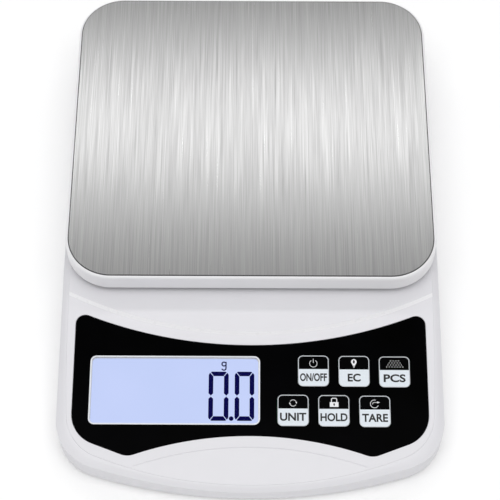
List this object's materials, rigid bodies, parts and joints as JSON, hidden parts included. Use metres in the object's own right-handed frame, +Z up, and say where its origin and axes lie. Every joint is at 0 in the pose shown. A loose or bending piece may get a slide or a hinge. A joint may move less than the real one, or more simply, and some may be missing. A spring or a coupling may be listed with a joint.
{
  "type": "counting scale",
  "caption": "Flat white counting scale with a brushed steel platform, a lit number display, six press keys and a battery door underneath.",
  "frame": {"origin": "middle of the footprint, on the surface that the feet stand on", "axes": "+Z up, -Y towards the user and the display, +X to the user's right"},
  "size_m": [0.165, 0.24, 0.0365],
  "materials": {
    "housing_white": "fine satin ABS",
    "tray_white": "fine satin ABS",
    "foot_rubber": "moulded matt rubber",
    "screw_steel": "zinc plated",
    "panel_black": "glossy printed film",
    "window_clear": "clear polished acrylic",
    "bezel_white": "white moulded frame",
    "display_blue": "lit display glass",
    "light_guide": "diffusing acrylic",
    "seal_rubber": "silicone",
    "key_face": "printed key film, black above and pale below",
    "switch_stem": "moulded",
    "switch_black": "moulded",
    "board_green": "solder mask",
    "chip_black": "moulded epoxy",
    "component_tan": "ceramic",
    "socket_ivory": "moulded nylon",
    "cell_aluminium": "machined",
    "spacer_aluminium": "sawn and drilled",
    "lead_cover": "PVC covered",
    "battery_jacket": "plain printed sleeve",
    "contact_nickel": "nickel plated spring steel",
    "plate_steel": "brushed front to rear",
    "adhesive_foam": "double-sided tape",
    "label_blank": "blank satin label"
  },
  "bodies": {
    "housing": {"top_housing": "housing_white", "bottom_housing": "housing_white", "foot_front_left": "foot_rubber", "foot_front_right": "foot_rubber", "foot_rear_left": "foot_rubber", "foot_rear_right": "foot_rubber", "housing_screws": "screw_steel", "panel_film": "panel_black", "display_window": "window_clear", "lcd_bezel": "bezel_white", "lcd_glass": "display_blue", "backlight_panel": "light_guide", "zebra_strip": "seal_rubber", "switch_bodies": "switch_black", "main_board": "board_green", "main_chip": "chip_black", "board_parts": "component_tan", "lead_socket": "socket_ivory", "board_screws": "screw_steel", "load_cell": "cell_aluminium", "gauge_seal": "seal_rubber", "cell_spacer_lower": "spacer_aluminium", "cell_screws_lower": "screw_steel", "load_cell_leads": "lead_cover", "battery_front": "battery_jacket", "battery_rear": "battery_jacket", "battery_plates": "contact_nickel", "battery_springs": "contact_nickel", "battery_bridge": "contact_nickel", "battery_leads": "lead_cover", "rating_label": "label_blank"},
    "platform": {"platform_plate": "plate_steel", "plate_adhesive": "adhesive_foam", "platform_tray": "tray_white", "cell_spacer_upper": "spacer_aluminium", "cell_screws_upper": "screw_steel"},
    "door": {"battery_door": "housing_white"},
    "key_on_off_body": {"key_on_off": "key_face", "stem_on_off": "switch_stem"},
    "key_backlight_body": {"key_backlight": "key_face", "stem_backlight": "switch_stem"},
    "key_count_body": {"key_count": "key_face", "stem_count": "switch_stem"},
    "key_unit_body": {"key_unit": "key_face", "stem_unit": "switch_stem"},
    "key_hold_body": {"key_hold": "key_face", "stem_hold": "switch_stem"},
    "key_tare_body": {"key_tare": "key_face", "stem_tare": "switch_stem"}
  },
  "joints": [
    {"name": "platform_weigh", "type": "slide", "parent": "housing", "child": "platform", "axis": [0, 0, 1], "range_m": [-0.0005, 0], "stiffness_N_per_m": 60000, "deforming": ["load_cell"]},
    {"name": "press_on_off", "type": "slide", "parent": "housing", "child": "key_on_off_body", "axis": [0, -0.1219, 0.9925], "range_m": [-0.0004, 0], "stiffness_N_per_m": 600, "springref_m": 0.0005},
    {"name": "press_backlight", "type": "slide", "parent": "housing", "child": "key_backlight_body", "axis": [0, -0.1219, 0.9925], "range_m": [-0.0004, 0], "stiffness_N_per_m": 600, "springref_m": 0.0005},
    {"name": "press_count", "type": "slide", "parent": "housing", "child": "key_count_body", "axis": [0, -0.1219, 0.9925], "range_m": [-0.0004, 0], "stiffness_N_per_m": 600, "springref_m": 0.0005},
    {"name": "press_unit", "type": "slide", "parent": "housing", "child": "key_unit_body", "axis": [0, -0.1219, 0.9925], "range_m": [-0.0004, 0], "stiffness_N_per_m": 600, "springref_m": 0.0005},
    {"name": "press_hold", "type": "slide", "parent": "housing", "child": "key_hold_body", "axis": [0, -0.1219, 0.9925], "range_m": [-0.0004, 0], "stiffness_N_per_m": 600, "springref_m": 0.0005},
    {"name": "press_tare", "type": "slide", "parent": "housing", "child": "key_tare_body", "axis": [0, -0.1219, 0.9925], "range_m": [-0.0004, 0], "stiffness_N_per_m": 600, "springref_m": 0.0005},
    {"name": "door_open", "type": "hinge", "parent": "housing", "child": "door", "pos_m": [-0.07175, 0.048, 0.0026], "axis": [0, 1, 0], "range_deg": [0, 75]}
  ]
}
